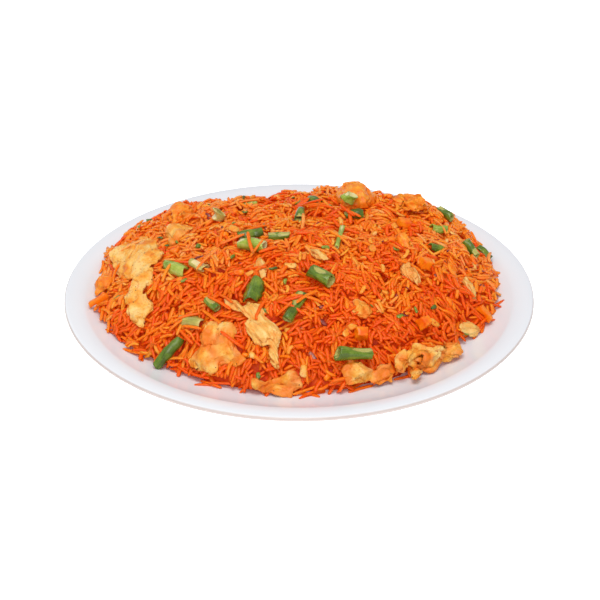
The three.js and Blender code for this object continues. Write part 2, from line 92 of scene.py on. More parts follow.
def makeCamera():
    lowest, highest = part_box("plate")
    target = Vector(((lowest.x + highest.x) / 2, (lowest.y + highest.y) / 2, highest.z))
    tilt = math.radians(photoView["elevation"])
    camera = addToScene(bpy.data.objects.new("camera", bpy.data.cameras.new("camera")))
    camera.location = target + photoView["distance"] * Vector((0, -math.cos(tilt), math.sin(tilt)))
    camera.rotation_euler = (math.pi / 2 - tilt, 0, 0)
    camera.data.lens = photoView["lens"]
    camera.data.sensor_width = photoView["sensor"]
    middle = photoView["pictureSize"] / 2
    camera.data.shift_x = (middle - photoView["lipPixel"][0]) / photoView["pictureSize"]
    camera.data.shift_y = (photoView["lipPixel"][1] - middle) / photoView["pictureSize"]
    bpy.context.scene.camera = camera


def makeLight():
    world = bpy.data.worlds.new("paleRoom")
    world.use_nodes = True
    background = world.node_tree.nodes["Background"]
    background.inputs["Color"].default_value = linear(stage["worldColour"])
    background.inputs["Strength"].default_value = stage["worldStrength"]
    bpy.context.scene.world = world
    for lamp in lamps:
        light = bpy.data.lights.new(lamp["name"], "AREA")
        light.size = lamp["size"]
        light.energy = lamp["watts"]
        light.color = linear(lamp["colour"])[:3]
        thing = addToScene(bpy.data.objects.new(lamp["name"], light))
        thing.location = lamp["place"]
        thing.rotation_euler = (-Vector(lamp["place"])).to_track_quat("-Z", "Y").to_euler()
    bpy.context.scene.view_settings.view_transform = "Standard"


def makeFloor():
    bm = bmesh.new()
    bmesh.ops.create_grid(bm, x_segments=4, y_segments=4, size=stage["floorSize"] / 2)
    floor = fromBmesh(bm, "floor", smooth=False)
    glow = {"Emission Color": (1, 1, 1, 1), "Emission Strength": stage["floorGlow"]}
    floor.data.materials.append(newMaterial("palePaper", stage["floorColour"], stage["floorRough"], glow))


def newMaterial(name, colour, roughness, numbers):
    made = bpy.data.materials.new(name)
    made.use_nodes = True
    shader = made.node_tree.nodes["Principled BSDF"]
    for label, value in {"Base Color": linear(colour), "Roughness": roughness, **numbers}.items():
        shader.inputs[label].default_value = value
    return made


def addNode(tree, kind, **inputs):
    node = tree.nodes.new(kind)
    for name, value in inputs.items():
        node.inputs[name].default_value = value
    return node


def addMath(tree, operation):
    node = tree.nodes.new("ShaderNodeMath")
    node.operation = operation
    return node


def joinAll(tree, *rows):
    for source, output, target, socket in rows:
        tree.links.new(source.outputs[output], target.inputs[socket])


# a colour ramp with (place, #rrggbb) stops
def ramp(tree, source, stops):
    node = tree.nodes.new("ShaderNodeValToRGB")
    tree.links.new(source, node.inputs["Fac"])
    row = node.color_ramp.elements
    row[0].position, row[0].color = stops[0][0], linear(stops[0][1])
    row[1].position, row[1].color = stops[-1][0], linear(stops[-1][1])
    for place, code in stops[1:-1]:
        row.new(place).color = linear(code)
    return node.outputs["Color"]


# lays one colour over another where the mask is 1
def layOver(tree, mask, below, code):
    node = tree.nodes.new("ShaderNodeMix")
    node.data_type = "RGBA"
    slots = {socket.identifier: socket for socket in node.inputs}
    tree.links.new(mask, slots["Factor_Float"])
    tree.links.new(below, slots["A_Color"])
    slots["B_Color"].default_value = linear(code)
    return next(socket for socket in node.outputs if socket.identifier == "Result_Color")


def newGroup(name, numbers, outputs):
    group = bpy.data.node_groups.new(name, "ShaderNodeTree")
    group.interface.new_socket("Vector", in_out="INPUT", socket_type="NodeSocketVector")
    for way, labels in (("INPUT", numbers), ("OUTPUT", outputs)):
        for label in labels:
            group.interface.new_socket(label, in_out=way, socket_type="NodeSocketFloat")
    return group, group.nodes.new("NodeGroupInput"), group.nodes.new("NodeGroupOutput")


# soft cloudy patches and fine pores, both from 0 to 1
def makeMottle():
    poresInHeight = 0.45
    group, given, result = newGroup("mottle", ("Patch Scale", "Pore Scale"), ("Patches", "Pores", "Height"))
    clouds = addNode(group, "ShaderNodeTexNoise", Detail=3.0, Roughness=0.55)
    pores = addNode(group, "ShaderNodeTexNoise", Detail=2.0, Roughness=0.6)
    total = addMath(group, "MULTIPLY_ADD")
    total.inputs[1].default_value = poresInHeight
    joinAll(group,
            (given, "Vector", clouds, "Vector"), (given, "Patch Scale", clouds, "Scale"),
            (given, "Vector", pores, "Vector"), (given, "Pore Scale", pores, "Scale"),
            (pores, "Fac", total, 0), (clouds, "Fac", total, 2),
            (clouds, "Fac", result, "Patches"), (pores, "Fac", result, "Pores"), (total, 0, result, "Height"))
    return group


# small scattered dots: 1 in a dot, 0 between them
def makeSpecks():
    group, given, result = newGroup("specks", ("Scale", "Size", "Share"), ("Dots",))
    cells = addNode(group, "ShaderNodeTexVoronoi")
    split = addNode(group, "ShaderNodeSeparateColor")
    chosen = addMath(group, "LESS_THAN")
    near = addMath(group, "LESS_THAN")
    both = addMath(group, "MULTIPLY")
    joinAll(group,
            (given, "Vector", cells, "Vector"), (given, "Scale", cells, "Scale"),
            (cells, "Color", split, "Color"), (split, "Red", chosen, 0), (given, "Share", chosen, 1),
            (cells, "Distance", near, 0), (given, "Size", near, 1),
            (chosen, 0, both, 0), (near, 0, both, 1), (both, 0, result, "Dots"))
    return group


mottle = makeMottle()
specks = makeSpecks()
poreRange = (0.3, 0.7)


# puts a group into a material, and gives its outputs
def place(tree, group, vector, numbers):
    node = tree.nodes.new("ShaderNodeGroup")
    node.node_tree = group
    tree.links.new(vector, node.inputs["Vector"])
    for socket, value in zip(node.inputs[1:], numbers):
        socket.default_value = value
    return node.outputs


def attribute(tree, name, output="Fac"):
    node = tree.nodes.new("ShaderNodeAttribute")
    node.attribute_name = name
    return node.outputs[output]


# maps low..high of a value to atLow..atHigh
def spread(tree, source, low, high, atLow, atHigh):
    node = addNode(tree, "ShaderNodeMapRange")
    for name, value in (("From Min", low), ("From Max", high), ("To Min", atLow), ("To Max", atHigh)):
        node.inputs[name].default_value = value
    tree.links.new(source, node.inputs["Value"])
    return node.outputs["Result"]


# One material from its dictionary. A source in it is an output of the mottle, the same output along the
# fibres, or an attribute of the mesh. marks, fibres and dots are the groups' numbers, stops run over the
# source ramp, and over holds stains and painted shade laid on in turn: source, from, to, how strong, and
# colour or its key.
# rough is a source and how far the roughness goes down and up; bump a source, a strength and mm.
def makeFinish(look, **own):
    look = {**look, **own}
    base = look.get("colour", look["stops"][0][1])
    made = newMaterial(look["name"], base, look["roughness"], look["shader"])
    tree = made.node_tree
    point = tree.nodes.new("ShaderNodeTexCoord").outputs["Object"]
    sources = dict(place(tree, mottle, point, look["marks"]).items())
    if "fibres" in look:
        along = place(tree, mottle, attribute(tree, "fibre", "Vector"), look["fibres"])
        sources.update({"fibre" + name: socket for name, socket in along.items()})
    if "dots" in look:
        sources.update(place(tree, specks, point, look["dots"]).items())

    def find(name):
        return sources[name] if name in sources else attribute(tree, name)

    colour = ramp(tree, find(look["ramp"]), look["stops"])
    for name, low, high, most, code in look.get("over", ()):
        colour = layOver(tree, spread(tree, find(name), low, high, 0.0, most), colour, look.get(code, code))
    shader = tree.nodes["Principled BSDF"]
    tree.links.new(colour, shader.inputs["Base Color"])
    if "rough" in look:
        name, down, rise = look["rough"]
        gloss = spread(tree, find(name), *poreRange, look["roughness"] - down, look["roughness"] + rise)
        tree.links.new(gloss, shader.inputs["Roughness"])
    name, strength, high = look["bump"]
    bump = addNode(tree, "ShaderNodeBump", Strength=strength, Distance=high * mm)
    tree.links.new(find(name), bump.inputs["Height"])
    tree.links.new(bump.outputs["Normal"], shader.inputs["Normal"])
    return made


# a shader's numbers: coat as weight and roughness, inward as how much light enters and how far in mm
def shaderOf(specular=0.5, coat=(0.0, 0.03), inward=(0.0, 1.0), radius=(1.0, 0.2, 0.1)):
    return {"Specular IOR Level": specular, "Coat Weight": coat[0], "Coat Roughness": coat[1],
            "Subsurface Weight": inward[0], "Subsurface Scale": inward[1] * mm, "Subsurface Radius": radius}


porcelainFinish = {
    "name": "whiteGlaze",
    "colour": "#ecf0f4",
    "roughness": 0.16,
    "shader": shaderOf(specular=0.25, coat=(0.1, 0.1)),
    "marks": (22.0, 600.0),
    "ramp": "Patches",
    "stops": [(0.0, "#eef1f6"), (1.0, "#e9edf3")],
    "over": [("reach", 129.0, 129.7, 1.0, "#c9bdb9")],  # painted shade: a darker greyish band along the outer edge of the lip
    "rough": ("Pores", 0.03, 0.04),
    "bump": ("Height", 0.05, 0.4),
}
# the tone is a random number of each grain; the emission is a painted glow, a faint orange light that lifts
# the shade between grains
riceFinish = {
    "shader": {**shaderOf(specular=0.22, inward=(0.6, 2.5), radius=(1.0, 0.6, 0.2)),
               "Emission Strength": 0.05, "Emission Color": linear("#ff4a08")},
    "marks": (160.0, 1500.0),
    "ramp": "tone",
    "over": [("Patches", 0.45, 0.7, 0.5, "#ec580c")],
    "rough": ("Pores", 0.08, 0.1),
    "bump": ("Height", 0.25, 0.15),
}
# sunken rice in darker reds than the grains: painted shade in the gaps between them; its emission is a
# painted glow
coreFinish = {
    "name": "sunkenRice",
    "colour": "#a22505",
    "roughness": 0.5,
    "shader": {**shaderOf(specular=0.2), "Emission Strength": 0.05, "Emission Color": linear("#f63605")},
    "marks": (150.0, 900.0),
    "ramp": "Patches",
    "stops": [(0.3, "#a82603"), (0.5, "#d84604"), (0.7, "#ee6a0b")],
    "bump": ("Height", 0.6, 0.8),
}
eggFinish = {
    "name": "scrambledEgg",
    "colour": "#f4c980",
    "roughness": 0.45,
    "shader": shaderOf(specular=0.3, inward=(0.15, 1.5), radius=(1.0, 0.6, 0.25)),
    "marks": (130.0, 900.0),
    "dots": (480.0, 0.22, 0.1),
    "ramp": "Patches",
    "stops": [(0.36, "#f5cb7c"), (0.48, "#f4b856"), (0.57, "#f0a033"), (0.68, "#e87f19")],
    "over": [("Pores", 0.55, 0.7, 0.7, "#d7832d"), ("above", 2.5, 0.5, 0.7, "#f2831b"),
             # the first colour on the next line is painted shade in the creases and crumple valleys; the
             # sauce is a stain
             ("crease", 0.3, 1.0, 0.8, "#d2731a"), ("sauce", 0.35, 0.75, 0.85, "#e8761a"),
             ("Dots", 0.0, 1.0, 1.0, "#89521b")],
    "rough": ("Pores", 0.11, 0.1),
    "bump": ("Height", 0.5, 0.5),
}
# fibrous meat
meatFinish = {
    "shader": shaderOf(specular=0.3, coat=(0.08, 0.2), inward=(0.12, 1.5), radius=(1.0, 0.45, 0.2)),
    "fibres": (0.55, 2.2),
    "marks": (110.0, 800.0),
    "ramp": "fibrePatches",
    # the deep colour laid on along the creases is painted shade
    "over": [("Patches", 0.5, 0.7, 0.75, "stain"), ("crease", 0.2, 1.0, 0.85, "deep")],
    "rough": ("fibrePores", 0.1, 0.1),
    "bump": ("fibreHeight", 0.6, 0.6),
}
chickenFinish = {
    **meatFinish,
    "name": "paleChicken",
    "roughness": 0.38,
    "stops": [(0.3, "#f1cb80"), (0.5, "#efb860"), (0.7, "#e99537")],
    "stain": "#ea8628",
    # painted shade in the creases
    "deep": "#d66c18",
}
coatedFinish = {
    **meatFinish,
    "name": "saucedChicken",
    "roughness": 0.34,
    "stops": [(0.3, "#f9ab30"), (0.5, "#f6901e"), (0.7, "#f1720d")],
    "stain": "#f37511",
    # painted shade in the creases
    "deep": "#c64506",
}
carrotFinish = {
    "name": "cookedCarrot",
    "colour": "#f38111",
    "roughness": 0.35,
    "shader": shaderOf(specular=0.3, coat=(0.1, 0.12), inward=(0.15, 1.2), radius=(1.0, 0.4, 0.1)),
    "marks": (180.0, 1200.0),
    "ramp": "Patches",
    "stops": [(0.35, "#fd900f"), (0.5, "#f97d06"), (0.65, "#ee6302")],
    "bump": ("Height", 0.3, 0.3),
}
pepperFinish = {
    "name": "pepperFlake",
    "roughness": 0.4,
    "colour": "#8a1a04",
    "shader": shaderOf(coat=(0.15, 0.15)),
    "marks": (500.0, 1800.0),
    "ramp": "Patches",
    "stops": [(0.35, "#5e0e04"), (0.5, "#8a1a04"), (0.65, "#b63408")],
    "bump": ("Height", 0.4, 0.2),
}
# a ribbed green skin outside, and a pale wall where the attribute inner is 1
onionFinish = {
    "roughness": 0.3,
    "shader": shaderOf(specular=0.35, coat=(0.3, 0.1), inward=(0.08, 1.0), radius=(0.5, 1.0, 0.2)),
    "fibres": (1.6, 6.0),
    "marks": (140.0, 900.0),
    "ramp": "Patches",
    "over": [("fibrePatches", 0.5, 0.68, 0.6, "streak"), ("inner", 0.0, 1.0, 1.0, "inside")],
    "rough": ("Pores", 0.1, 0.12),
    "bump": ("fibreHeight", 0.4, 0.3),
}


def fromBmesh(bm, name, smooth=True):
    mesh = bpy.data.meshes.new(name)
    for face in bm.faces:
        face.smooth = smooth
    bm.to_mesh(mesh)
    bm.free()
    return addToScene(bpy.data.objects.new(name, mesh))


def finishPiece(thing, material, slot, *replaced):
    thing.data.materials.append(material)
    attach(thing, "root")
    if replaced:
        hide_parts(*replaced)
    return thing


# a line of points turned about the upright axis
def spun(points, turns):
    bm = bmesh.new()
    verts = [bm.verts.new(point) for point in points]
    edges = [bm.edges.new(pair) for pair in zip(verts, verts[1:])]
    bmesh.ops.spin(bm, geom=verts + edges, cent=(0, 0, 0), axis=(0, 0, 1), angle=math.tau, steps=turns,
                   use_merge=True, use_duplicate=False)
    bmesh.ops.remove_doubles(bm, verts=bm.verts, dist=touching)
    return bm


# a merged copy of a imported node's mesh
def copyOfNode(node):
    bm = bmesh.new()
    bm.from_mesh(nodes[node].data)
    bmesh.ops.remove_doubles(bm, verts=bm.verts, dist=touching)
    return bm


# the node's form in even small faces, ready to be shaped
def evenCopy(node, name, grainSize):
    rough = fromBmesh(copyOfNode(node), name + "Rough")
    remesh = rough.modifiers.new("even", "REMESH")
    remesh.mode = "VOXEL"
    remesh.voxel_size = grainSize
    bm = bmesh.new()
    bm.from_object(rough, bpy.context.evaluated_depsgraph_get())
    bpy.data.objects.remove(rough)
    return bm


def softNoise(point, wave, seed):
    return noise.noise(point / wave + Vector((seed * 7.31, seed * 3.17, seed * 1.93)))


def softVector(point, wave, seed):
    return noise.noise_vector(point / wave + Vector((seed * 5.11, seed * 2.73, seed * 8.39)))


# lengths are shares of the wave that a fold follows, and the seeds keep each noise apart from the others
foldShape = {
    "wander": 0.35,
    "wanderWave": 0.8,
    "sharp": 1.4,
    "bent": 0.3,
    "valleyWave": 0.8,
    "valleyShare": 0.55,
    "valleyWide": 0.045,
    # how dark the painted shade in a crumple valley is
    "valleyShade": 0.6,
    "high": 2.5,
    "raggedUp": 0.35,  # a ragged outline moves less up and down
    "valleySeed": 9,
    "crumpleSeed": 20,
    "lumpSeed": 40,
}


# 1 along thin winding lines, 0 away from them
def creaseAt(at, wave, wide, seed):
    wander = foldShape["wander"] * wave * softVector(at, foldShape["wanderWave"] * wave, seed)
    return max(0.0, 1 - abs(softNoise(at + wander, wave, seed)) / wide) ** foldShape["sharp"]


# sharp ridges and sharp valleys side by side, as in a crumpled sheet, and how deep in a valley a place is
def crumpleAt(at, wave, seed):
    bent = at + foldShape["bent"] * wave * softVector(at, wave, seed)
    ridge = abs(softNoise(bent, wave, seed))
    valley = abs(softNoise(bent, foldShape["valleyWave"] * wave, seed + foldShape["valleySeed"]))
    rise = foldShape["high"] * (foldShape["valleyShare"] * valley - ridge)
    return rise, max(0.0, 1 - valley / foldShape["valleyWide"])


# a place drawn together along the piece, so that what is worked out from it runs along the piece
def drawnIn(at, along, stretch):
    return at - along * at.dot(along) * (1 - 1 / stretch)


# a ragged outline, lumps, folds and creases; gives how much painted shade each place takes in its creases and
# valleys
def shaken(bm, settings, along, seed, folded):
    for vert in bm.verts:
        at = vert.co / mm
        for wave, far in settings["ragged"]:
            push = softVector(at, wave, seed)
            vert.co += Vector((push.x, push.y, foldShape["raggedUp"] * push.z)) * far * mm
    bm.normal_update()
    creaseShading = []
    for vert in bm.verts:
        at = vert.co / mm
        short = drawnIn(at, along, settings["stretch"])
        creases = enumerate(settings["creases"])
        lines = [creaseAt(short, wave, wide, seed + k) for k, (wave, wide, _) in creases]
        rise = sum(far * softNoise(at, wave, seed + foldShape["lumpSeed"]) for wave, far in settings["lumps"])
        rise -= folded * sum(line * deep for line, (_, _, deep) in zip(lines, settings["creases"]))
        for k, (wave, far) in enumerate(settings["crumples"]):
            height, deep = crumpleAt(short, wave, seed + foldShape["crumpleSeed"] + k)
            rise += folded * far * height
            # painted shade along the crumple valleys
            lines.append(foldShape["valleyShade"] * deep * min(far, 1.0))
        vert.co += vert.normal * rise * mm
        creaseShading.append(min(sum(lines), 1.0))
    return creaseShading


# the middle of a mesh and its principal directions, longest first
def longestWay(bm):
    points = np.array([v.co for v in bm.verts])
    centre = points.mean(axis=0)
    spreadOut, ways = np.linalg.eigh(np.cov((points - centre).T))
    order = np.argsort(-spreadOut)
    return Vector(centre), [Vector(ways[:, i]) for i in order]


# thins a piece towards its two ends
def taperEnds(bm, along, most, slices=14, sharp=2.5):
    points = np.array([v.co for v in bm.verts])
    places = points @ np.array(along)
    share = (places - places.min()) / np.ptp(places)
    slot = np.minimum((share * slices).astype(int), slices - 1)
    middles = np.array([points[slot == k].mean(axis=0) for k in range(slices)])
    steps = (np.arange(slices) + 0.5) / slices
    centres = np.stack([np.interp(share, steps, middles[:, axis]) for axis in range(3)], axis=1)
    for vert, part, centre in zip(bm.verts, share, centres):
        thin = 1 - most * abs(2 * part - 1) ** sharp
        high = vert.co.z
        vert.co = Vector(centre).lerp(vert.co, thin)
        vert.co.z = 0.5 * (vert.co.z + high)


# fibre is a place in mm, drawn together along the fibres; the other attributes are numbers
def addAttributes(thing, fibre=None, **numbers):
    if fibre is not None:
        layer = thing.data.attributes.new("fibre", "FLOAT_VECTOR", "POINT")
        layer.data.foreach_set("vector", np.asarray(fibre, np.float32).ravel())
    for name, values in numbers.items():
        layer = thing.data.attributes.new(name, "FLOAT", "POINT")
        layer.data.foreach_set("value", np.asarray(values, np.float32).ravel())


plateShape = {
    "wellRadius": 86.0,
    "wellTop": 7.5,
    "rimInner": 120.0,
    "rimTop": 16.8,
    "wall": 4.5,
    "lipWall": 2.6,
    "lipRound": 1.3,
    "footInner": 71.0,
    "footOuter": 77.0,
    "footRound": 1.0,
    "footInside": 1.5,
    "footOutside": 1.2,
    "footDrop": 0.6,
    "steps": 16,
    "turns": 192,
}


def arcPoints(centreR, centreZ, radius, start, end, count):
    angles = [math.radians(start + (end - start) * i / count) for i in range(count + 1)]
    return [(centreR + radius * math.cos(a), centreZ + radius * math.sin(a)) for a in angles]


# radius and height in mm, from the middle of the underside round the lip to the middle of the top
def plateProfile():
    shape = plateShape
    lowest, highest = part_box("plate")
    run = shape["rimInner"] - shape["wellRadius"]
    rise = shape["rimTop"] - shape["wellTop"]
    arc = run / math.sin(2 * math.atan2(rise, run))
    steps = [run * t / shape["steps"] for t in range(shape["steps"], -1, -1)]
    wallCurve = [(shape["wellRadius"] + step, shape["wellTop"] + arc - math.sqrt(arc ** 2 - step ** 2))
                 for step in steps]
    under = shape["wellTop"] - shape["wall"]
    thinner = (shape["lipWall"] - shape["wall"]) / run
    below = [(r, z - shape["wall"] - thinner * (r - shape["wellRadius"])) for r, z in reversed(wallCurve)]
    turned = shape["lipRound"]
    lip = arcPoints((highest.x - lowest.x) / 2 / mm - turned, highest.z / mm - turned, turned, -90, 90, 8)
    turned = shape["footRound"]
    foot = [(shape["footInner"] - shape["footInside"], under)]
    foot += arcPoints(shape["footInner"] + turned, turned, turned, 200, 270, 4)
    foot += arcPoints(shape["footOuter"] - turned, turned, turned, 270, 340, 4)
    foot += [(shape["footOuter"] + shape["footOutside"], under - shape["footDrop"])]
    well = [(r, shape["wellTop"]) for r in (60, 30, 0)]
    return [(0, under), (30, under)] + foot + below + lip + wallCurve + well


def makePlate():
    bm = spun([(r * mm, 0, z * mm) for r, z in plateProfile()], plateShape["turns"])
    bmesh.ops.recalc_face_normals(bm, faces=bm.faces)
    plate = fromBmesh(bm, "dinnerPlate")
    addAttributes(plate, reach=[math.hypot(v.co.x, v.co.y) / mm for v in plate.data.vertices])
    return finishPiece(plate, makeFinish(porcelainFinish), "porcelain", "plate")


# all in mm: waves as (wavelength, how far), and creases as (wavelength, how wide, how deep);
# folds and sauce have one number for each piece: how folded it is, and how much sauce it has taken up
eggLook = {
    "nodes": "egg",
    "pieces": "eggPiece",
    "finish": eggFinish,
    "seed": 1,
    "voxel": 0.5,
    "ragged": [(9.0, 2.2), (4.0, 1.2)],
    "lumps": [(12.0, 0.8)],
    "crumples": [(12.0, 1.5), (6.0, 0.7), (2.8, 0.15)],
    "creases": [(12.0, 0.05, 1.2)],
    "stretch": 1.6,
    "taper": 0.0,
    "folds": (0.7, 1.0, 1.1, 0.9, 1.0, 1.4, 1.7, 1.0, 1.0),
    "sauce": (0.05, 0.4, 0.5, 0.6, 0.6, 0.5, 0.6, 0.5, 0.5),
}
chickenLook = {
    "nodes": "chicken",
    "pieces": "chickenPiece",
    "finish": chickenFinish,
    "seed": 21,
    "voxel": 0.5,
    "ragged": [(9.0, 1.3), (3.0, 0.35)],
    "lumps": [(6.0, 0.5)],
    "crumples": [(6.0, 0.8), (2.8, 0.55), (1.5, 0.25)],
    "creases": [(4.5, 0.07, 1.0)],
    "stretch": 6.0,
    "taper": 0.55,
    "folds": (1.0,) * 7,
    "sauce": (0.0,) * 7,
}
coatedLook = {
    "nodes": "coated_chicken",
    "pieces": "saucedPiece",
    "finish": coatedFinish,
    "seed": 41,
    "voxel": 0.6,
    "ragged": [(9.0, 1.4), (3.0, 0.5)],
    "lumps": [(9.0, 0.8)],
    "crumples": [(11.0, 0.9), (5.0, 0.4), (2.4, 0.12)],
    "creases": [(9.0, 0.07, 2.2)],
    "stretch": 2.0,
    "taper": 0.1,
    "folds": (0.5, 2.0, 1.6, 1.4, 1.4),
    "sauce": (0.0,) * 5,
}
carrotLook = {"bevel": 0.45, "cuts": 3, "bent": [(6.0, 0.9), (2.5, 0.3)], "seed": 61}
sauceWave, sauceShare = 6.0, 0.6


def makeSoftPiece(node, look, material, number):
    name = f"{look['pieces']}_{number + 1}"
    seed = look["seed"] + number
    bm = evenCopy(node, name, look["voxel"] * mm)
    bmesh.ops.smooth_vert(bm, verts=bm.verts, factor=0.5, use_axis_x=True, use_axis_y=True, use_axis_z=True)
    along = longestWay(bm)[1][0].normalized()
    taperEnds(bm, along, look["taper"])
    creaseShading = shaken(bm, look, along, seed, look["folds"][number])
    thing = fromBmesh(bm, name)
    places = [v.co / mm for v in thing.data.vertices]
    lowest = min(at.z for at in places)
    taken = look["sauce"][number]
    # painted shade along the creases and valleys goes into an attribute
    addAttributes(thing, fibre=[drawnIn(at, along, look["stretch"]) for at in places], crease=creaseShading,
                  above=[at.z - lowest for at in places],
                  sauce=[taken + sauceShare * softNoise(at, sauceWave, seed) for at in places])
    return finishPiece(thing, material, look["nodes"], node)


def makeCarrot(node, material, number):
    seed = carrotLook["seed"] + number
    bm = copyOfNode(node)
    bmesh.ops.dissolve_limit(bm, angle_limit=0.02, verts=bm.verts, edges=bm.edges)
    bmesh.ops.bevel(bm, geom=bm.edges[:], offset=carrotLook["bevel"] * mm, offset_type="OFFSET",
                    affect="EDGES", segments=2, profile=0.5, material=-1)
    bmesh.ops.subdivide_edges(bm, edges=bm.edges[:], cuts=carrotLook["cuts"], use_grid_fill=True)
    for vert in bm.verts:
        at = vert.co / mm
        vert.co += sum((softVector(at, wave, seed) * far for wave, far in carrotLook["bent"]), Vector()) * mm
    return finishPiece(fromBmesh(bm, f"carrotPiece_{number + 1}"), material, "carrot", node)


# the spring onion's cuts, by the number of their node
onionCuts = {
    "leaves": (2, 5, 12, 13, 15, 16, 19, 22, 24, 27),
    "dark": (2, 3, 6, 7, 9, 11, 13, 14, 15, 18, 19, 20, 21, 22, 23, 25, 27),
    "pale": (4, 17, 24),
}
tubeLook = {
    "wall": 0.7,
    "sides": 28,
    "rows": 16,
    "ribs": 11,
    "ribDepth": 0.03,
    "squeeze": 0.08,
    "slimmer": 0.82,
    "slant": 0.3,  # how far an end is cut askew, as a share of the width
    "ragged": 0.9,
    "raggedWave": 0.5,
    "raggedEnd": 8,  # the higher, the less of the tube is ragged
    "bend": 0.9,
    "dent": 0.16,
    "dentWaves": 5,
    "taper": 0.22,
    "inside": 0.02,
}
leafLook = {
    "wall": 0.7,
    "rows": 22,
    "columns": 10,
    "ends": 0.45,
    "edge": (0.06, 9),  # how far and how many waves, as the two below
    "wave": (0.4, 3),
    "rib": (0.08, 13),
    "skew": 0.08,
    "crown": 0.9,
    "arch": 1.5,
}
onionSeed = 80
onionTones = {
    "dark": {"name": "darkStalk", "stops": [(0.35, "#4a5c12"), (0.5, "#5c7a1a"), (0.68, "#82962c")],
             "inside": "#b8b460", "streak": "#363f0c"},
    "light": {"name": "greenStalk", "stops": [(0.35, "#769226"), (0.5, "#94ac34"), (0.68, "#b8c458")],
              "inside": "#e2dca0", "streak": "#c4cc74"},
    "pale": {"name": "paleStalk", "stops": [(0.35, "#a4a04c"), (0.5, "#beb45c"), (0.68, "#d8c87c")],
             "inside": "#ecdca0", "streak": "#8e8a40"},
}


# centre, axis, side, up and sizes of a tube: its axis is the way that its faces look least
def tubeFrame(bm):
    total = Matrix(((0, 0, 0),) * 3)
    for face in bm.faces:
        n = face.normal
        total = total + Matrix([[n[i] * n[j] * face.calc_area() for j in range(3)] for i in range(3)])
    spreadOut, ways = np.linalg.eigh(np.array(total))
    axis = Vector(ways[:, 0])
    if axis.x < 0:
        axis.negate()
    over = (up - axis * axis.z).normalized()
    side = over.cross(axis)
    centre = longestWay(bm)[0]
    sizes = [max((v.co - centre).dot(way) for v in bm.verts) * 2 for way in (axis, side, over)]
    return centre, axis, side, over, sizes


# turns the faces of a sheet outwards and gives it its wall
def thicken(bm, outwards, wall):
    bmesh.ops.recalc_face_normals(bm, faces=bm.faces)
    if sum(face.normal.dot(outwards(face)) for face in bm.faces) < 0:
        bmesh.ops.reverse_faces(bm, faces=bm.faces)
    bmesh.ops.solidify(bm, geom=bm.faces[:], thickness=wall * mm)


def makeTube(node, name, material, seed):
    bm = copyOfNode(node)
    centre, axis, side, over, (length, width, height) = tubeFrame(bm)
    bm.free()
    look = tubeLook
    bm = bmesh.new()
    bmesh.ops.create_circle(bm, cap_ends=False, segments=look["sides"], radius=0.5)
    edges = bm.edges[:]
    for _ in range(look["rows"]):
        made = bmesh.ops.extrude_edge_only(bm, edges=edges)["geom"]
        verts = [g for g in made if isinstance(g, bmesh.types.BMVert)]
        bmesh.ops.translate(bm, verts=verts, vec=(0, 0, 1 / look["rows"]))
        ring = set(verts)
        edges = [g for g in made if isinstance(g, bmesh.types.BMEdge) and set(g.verts) <= ring]
    bmesh.ops.recalc_face_normals(bm, faces=bm.faces)
    draw = random.Random(seed)
    slants = [draw.uniform(-look["slant"], look["slant"]) for _ in range(2)]
    bend = draw.uniform(-look["bend"], look["bend"]) * mm
    turn = draw.uniform(0, math.tau)
    taper = draw.uniform(-look["taper"], look["taper"])
    width *= look["slimmer"]
    for vert in bm.verts:
        around = math.atan2(vert.co.y, vert.co.x)
        part = vert.co.z
        rib = 1 + look["ribDepth"] * math.sin(look["ribs"] * around + turn)
        squeeze = 1 + look["squeeze"] * math.sin(3 * part + turn) * math.cos(2 * around)
        squeeze *= 1 + taper * (part - 0.5)
        slant = slants[0] if part < 0.5 else slants[1]
        toEnd = abs(2 * part - 1)
        at = Vector((math.cos(around), math.sin(around), part))
        torn = look["ragged"] * mm * softNoise(at, look["raggedWave"], seed) * toEnd ** look["raggedEnd"]
        x = (part - 0.5) * length + slant * vert.co.y * width * toEnd - torn * (part - 0.5)
        dented = 0.6 + math.sin(look["dentWaves"] * part + turn)
        dent = look["dent"] * height * max(math.sin(around), 0) ** 3 * dented
        y = vert.co.x * width * rib * squeeze
        z = vert.co.y * height * rib * squeeze - dent + bend * (1 - toEnd ** 2)
        vert.co = centre + axis * x + side * y + over * z

    def fromAxis(face):
        rel = face.calc_center_median() - centre
        return rel - axis * axis.dot(rel)

    thicken(bm, fromAxis, look["wall"])
    thing = fromBmesh(bm, name)
    middle = 0.5 - 0.5 * look["wall"] * mm / width - look["inside"]  # just inside the middle of the wall
    inner = []
    fibre = []
    for vert in thing.data.vertices:
        rel = vert.co - centre
        across = Vector((rel.dot(side) / width, rel.dot(over) / height))
        around = math.atan2(across.y, across.x)
        inner.append(float(across.length < middle))
        fibre.append((math.cos(around) * 4, math.sin(around) * 4, rel.dot(axis) / length * 1.2))
    addAttributes(thing, fibre=fibre, inner=inner)
    return finishPiece(thing, material, "spring_onion", node)


